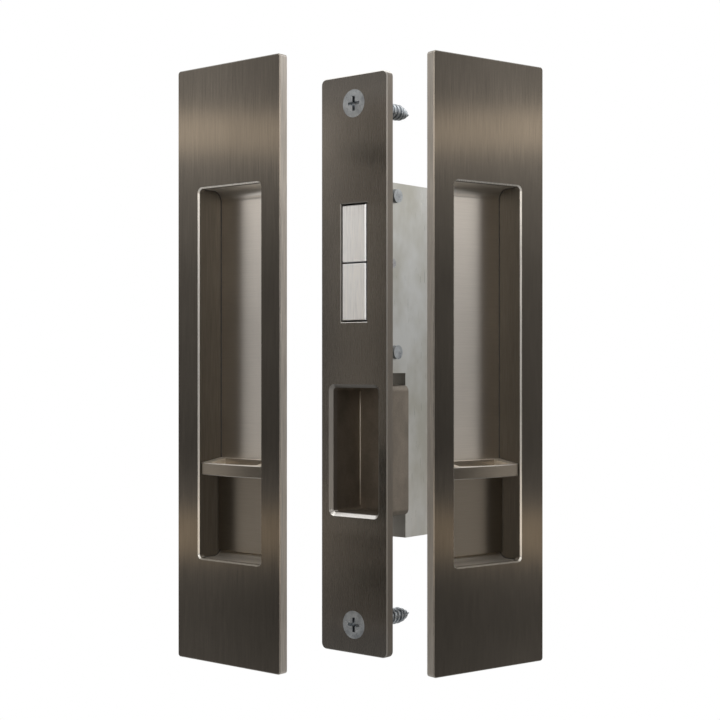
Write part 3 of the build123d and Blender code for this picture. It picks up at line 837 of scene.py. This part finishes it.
@dataclass
class EdgeLock:
    """The lock in the door's edge: forend, claws, case, drive and the edge pull's pocket."""

    screws: WoodScrews = field(default_factory=WoodScrews)
    pocket_half_mm: float = 9.65
    pocket_depth_mm: float = 15.2
    pocket_rise_mm: float = -28.55
    pocket_half_height_mm: float = 19.5
    # Size and taper of the pale corner beads, whose colour is a painted highlight.
    corner_bead_mm: float = 0.28
    corner_bead_sides: int = 10
    corner_bead_shares: tuple[tuple[float, float], ...] = (
        (-1.0, 0.4), (-0.98, 1.0), (0.98, 1.0), (1.0, 0.4))

    def corner_highlight_mesh(self) -> bpy.types.Mesh:
        """Builds the pale beads along the two upright corners of the edge pull's pocket, whose
        colour is a painted highlight.

        Returns:
            The mesh of both beads, which thin out at their ends.
        """
        shape = bmesh.new()
        for side in (-1, 1):
            rings = []
            for end, thickness in self.corner_bead_shares:
                height = self.pocket_rise_mm + end * self.pocket_half_height_mm
                radius = self.corner_bead_mm * thickness
                rings.append([
                    Vector((side * self.pocket_half_mm + radius * beside,
                            self.pocket_depth_mm + radius * behind, height))
                    for beside, behind in circle(self.corner_bead_sides)])
            skin(shape, rings)
        return finish_mesh(shape, "pocket_corner_highlight")

    def build(self, finishes: Finishes) -> None:
        """Dresses the lock and adds its screw threads and its corner beads of painted highlight.

        Args:
            finishes: store of materials.
        """
        self.dress(finishes)
        self.screws.build(finishes)
        # The pale beads in the pocket's corners are a painted highlight.
        place_piece("pocket_corner_highlight", self.corner_highlight_mesh(), finishes.get(PAINTED_CORNER_HIGHLIGHT), ROOT_BODY)

    def dress(self, finishes: Finishes) -> None:
        """Gives each node of the lock its finish.

        Args:
            finishes: store of materials.
        """
        wear: dict[str, BrushedMetal | GrainedSolid] = {
            "forend": FOREND_GUNMETAL,
            "edge_pull_pocket": POCKET_PLATING,
            "upper_claw": CLAW_STEEL,
            "lower_claw": CLAW_STEEL,
            "case_tray": SHEET_ZINC,
            "case_cover": SHEET_ZINC,
            "case_pillars": TURNED_STEEL,
            "guide_pins": TURNED_STEEL,
            "case_screws": BLUE_ZINC,
            "spreader_pin": TURNED_STEEL,
            "drive_plate": SHEET_ZINC,
            "tail_follower": CAST_ZINC,
            "friction_spring": BLUED_STEEL,
            "bolt_carriage": CAST_ZINC,
            "claw_pins": TURNED_STEEL,
            "cam_pin": TURNED_STEEL,
        }
        for node_name, finish in wear.items():
            dress(node_name, finishes.get(finish))


@dataclass
class Studio:
    """Camera, world, floor and soft light, all in metres in the row frame.

    Attributes:
        card_stops: glow of the card from its foot to its top. Two warm strips make the
            bands across the plates.
        card_shares: share of that glow from the card's two ends to its middle: bright at
            the ends, which the plates mirror, and in the middle, which the bevels mirror.
        card_axis: direction of the card's middle, which the shares go by.
    """

    camera_place: tuple[float, float, float] = (0.2996, -0.3614, 0.0)
    camera_way: tuple[float, float, float] = (-0.635, 0.773, 0.0)
    lens_mm: float = 71.5
    sensor_mm: float = 36.0
    shift_up: float = 0.0056
    nearest: float = 0.01
    fill: float = 0.7
    floor_height: float = -0.36
    floor_reach: float = 2.6
    floor_sides: int = 96
    floor_paint: str = "#8a8a88"
    floor_front: float = -0.25
    floor_front_glow: float = 0.6
    floor_back: float = 0.35
    floor_back_glow: float = 0.1
    card_radius: float = 1.1
    card_low: float = -0.36
    card_high: float = 0.9
    card_from: float = -168.0
    card_to: float = 62.0
    card_steps: int = 48
    card_power: float = 4.35
    card_axis: tuple[float, float] = (0.588, -0.809)
    card_stops: tuple[tuple[float, float | str], ...] = (
        (0.0, 0.16), (0.088, 0.115), (0.118, 0.17), (0.132, "#b1a799"), (0.156, "#b1a799"),
        (0.172, 0.18), (0.215, 0.115), (0.306, 0.145), (0.357, 0.16), (0.430, 0.27),
        (0.457, 0.37), (0.469, "#efe7dc"), (0.490, "#efe7dc"), (0.501, 0.36), (0.56, 0.32),
        (1.0, 0.40))
    card_shares: tuple[tuple[float, float], ...] = (
        (0.12, 0.667), (0.20, 0.547), (0.27, 0.32), (0.33, 0.24), (0.40, 0.11),
        (0.83, 0.11), (0.93, 1.0))
    lamp_place: tuple[float, float, float] = (0.1, -0.3, 0.85)
    lamp_size: tuple[float, float] = (0.9, 0.5)
    lamp_power: float = 2.0

    def add_camera(self) -> None:
        """Adds the camera at the photograph's viewing angle."""
        data = bpy.data.cameras.new("camera")
        data.lens = self.lens_mm
        data.sensor_width = self.sensor_mm
        data.shift_y = self.shift_up
        data.clip_start = self.nearest
        camera = bpy.data.objects.new("camera", data)
        camera.location = self.camera_place
        camera.rotation_euler = Vector(self.camera_way).to_track_quat("-Z", "Y").to_euler()
        bpy.context.scene.collection.objects.link(camera)
        bpy.context.scene.camera = camera

    def add_world(self) -> None:
        """Adds a plain world that is white to the camera and in reflections."""
        world = bpy.data.worlds.new("studio_world")
        bpy.context.scene.world = world
        world.use_nodes = True
        tree = world.node_tree
        tree.nodes.clear()
        path = add_node(tree, "ShaderNodeLightPath")
        seen = add_node(tree, "ShaderNodeMath", {"operation": "MAXIMUM"}, {
            0: path.outputs["Is Camera Ray"], 1: path.outputs["Is Glossy Ray"]})
        white = add_node(tree, "ShaderNodeMath", {"operation": "MAXIMUM"}, {
            0: seen.outputs[0], 1: path.outputs["Is Transmission Ray"]})
        plain = add_node(tree, "ShaderNodeBackground", {"Color": WHITE, "Strength": self.fill})
        bright = add_node(tree, "ShaderNodeBackground", {"Color": WHITE, "Strength": 1.0})
        mixed = add_node(tree, "ShaderNodeMixShader", {}, {
            0: white.outputs[0], 1: plain.outputs[0], 2: bright.outputs[0]})
        add_node(tree, "ShaderNodeOutputWorld", {}, {"Surface": mixed.outputs[0]})

    def add_floor(self) -> None:
        """Adds a pale floor, white to the camera, whose reflection fades to the back."""
        material, tree = new_material("pale_studio_floor")
        path = add_node(tree, "ShaderNodeLightPath")
        place = add_node(tree, "ShaderNodeTexCoord")
        parts = add_node(tree, "ShaderNodeSeparateXYZ", {}, {"Vector": place.outputs["Object"]})
        nearness = add_node(tree, "ShaderNodeMapRange", {
            "From Min": self.floor_front, "From Max": self.floor_back,
            "To Min": self.floor_front_glow, "To Max": self.floor_back_glow,
        }, {"Value": parts.outputs["Y"]})
        shared = add_node(tree, "ShaderNodeMath", {"operation": "MULTIPLY"},
                          {0: path.outputs["Is Glossy Ray"], 1: nearness.outputs[0]})
        seen = add_node(tree, "ShaderNodeMath", {"operation": "MAXIMUM"}, {
            0: path.outputs["Is Camera Ray"], 1: shared.outputs[0]})
        paint = add_node(tree, "ShaderNodeBsdfDiffuse", {"Color": to_linear(self.floor_paint)})
        glow = add_node(tree, "ShaderNodeEmission", {"Color": WHITE, "Strength": 1.0})
        mixed = add_node(tree, "ShaderNodeMixShader", {}, {
            0: seen.outputs[0], 1: paint.outputs[0], 2: glow.outputs[0]})
        add_node(tree, "ShaderNodeOutputMaterial", {}, {"Surface": mixed.outputs[0]})
        shape = bmesh.new()
        bmesh.ops.create_circle(
            shape, cap_ends=True, radius=self.floor_reach, segments=self.floor_sides,
            matrix=Matrix.Translation((0.0, 0.0, self.floor_height)))
        floor = self.set_up("studio_floor", shape, material)

    def add_card(self) -> None:
        """Adds the curved card round the camera, whose glow goes by height and direction."""
        material, tree = new_material("studio_card")
        place = add_node(tree, "ShaderNodeTexCoord")
        parts = add_node(tree, "ShaderNodeSeparateXYZ", {}, {"Vector": place.outputs["Object"]})
        height = add_node(tree, "ShaderNodeMapRange", {
            "From Min": self.card_low, "From Max": self.card_high}, {"Value": parts.outputs["Z"]})
        glow = add_node(tree, "ShaderNodeValToRGB", {"stops": self.card_stops},
                        {"Fac": height.outputs[0]})
        beside = add_node(tree, "ShaderNodeVectorMath", {
            "operation": "DOT_PRODUCT",
            1: (*(part / self.card_radius for part in self.card_axis), 0.0),
        }, {0: place.outputs["Object"]})
        share = add_node(tree, "ShaderNodeValToRGB", {"stops": self.card_shares},
                         {"Fac": beside.outputs["Value"]})
        power = add_node(tree, "ShaderNodeMath", {"operation": "MULTIPLY", 1: self.card_power},
                         {0: share.outputs["Color"]})
        light = add_node(tree, "ShaderNodeEmission", {}, {
            "Color": glow.outputs["Color"], "Strength": power.outputs[0]})
        add_node(tree, "ShaderNodeOutputMaterial", {}, {"Surface": light.outputs[0]})
        shape = bmesh.new()
        columns = []
        for i in range(self.card_steps + 1):
            angle = radians(
                self.card_from + (self.card_to - self.card_from) * i / self.card_steps)
            spot = (self.card_radius * cos(angle), self.card_radius * sin(angle))
            columns.append([
                shape.verts.new((*spot, z)) for z in (self.card_low, self.card_high)])
        for a, b in zip(columns, columns[1:]):
            shape.faces.new((a[0], b[0], b[1], a[1]))
        card = self.set_up("studio_card", shape, material)
        card.visible_camera = False

    def set_up(self, name: str, shape: bmesh.types.BMesh,
               material: bpy.types.Material) -> bpy.types.Object:
        """Puts a piece of the studio into the scene.

        Args:
            name: name of the piece.
            shape: its built shape, which is freed.
            material: its material.

        Returns:
            The new object.
        """
        mesh = bpy.data.meshes.new(name)
        shape.to_mesh(mesh)
        shape.free()
        mesh.materials.append(material)
        piece = bpy.data.objects.new(name, mesh)
        bpy.context.scene.collection.objects.link(piece)
        return piece

    def add_lamp(self) -> None:
        """Adds one soft lamp above, which faces the origin."""
        data = bpy.data.lights.new("lamp_top", "AREA")
        data.shape = "RECTANGLE"
        data.size, data.size_y = self.lamp_size
        data.energy = self.lamp_power
        lamp = bpy.data.objects.new("lamp_top", data)
        lamp.location = self.lamp_place
        lamp.rotation_euler = (-Vector(self.lamp_place)).to_track_quat("-Z", "Y").to_euler()
        bpy.context.scene.collection.objects.link(lamp)

    def build(self) -> None:
        """Builds the whole studio."""
        self.add_camera()
        self.add_world()
        self.add_floor()
        self.add_card()
        self.add_lamp()
        LOG.info("built the studio")


def main() -> None:
    """Dresses the CAD, adds the small pieces and builds the studio."""
    logging.basicConfig(level=logging.INFO, format="%(name)s: %(message)s")
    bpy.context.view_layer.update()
    bpy.context.scene.view_settings.view_transform = "Standard"
    finishes = Finishes()
    FlushPull("left", LEFT_GUNMETAL, LEFT_THUMB, LEFT_LINER, LEFT_PLACE_MM, 0.0,
              OPENING_SHIFT_MM).build(finishes)
    FlushPull("right", RIGHT_GUNMETAL, RIGHT_THUMB, RIGHT_LINER, RIGHT_PLACE_MM, RIGHT_TURN,
              -OPENING_SHIFT_MM).build(finishes)
    EdgeLock().build(finishes)
    Studio().build()


if __name__ == "__main__":
    main()
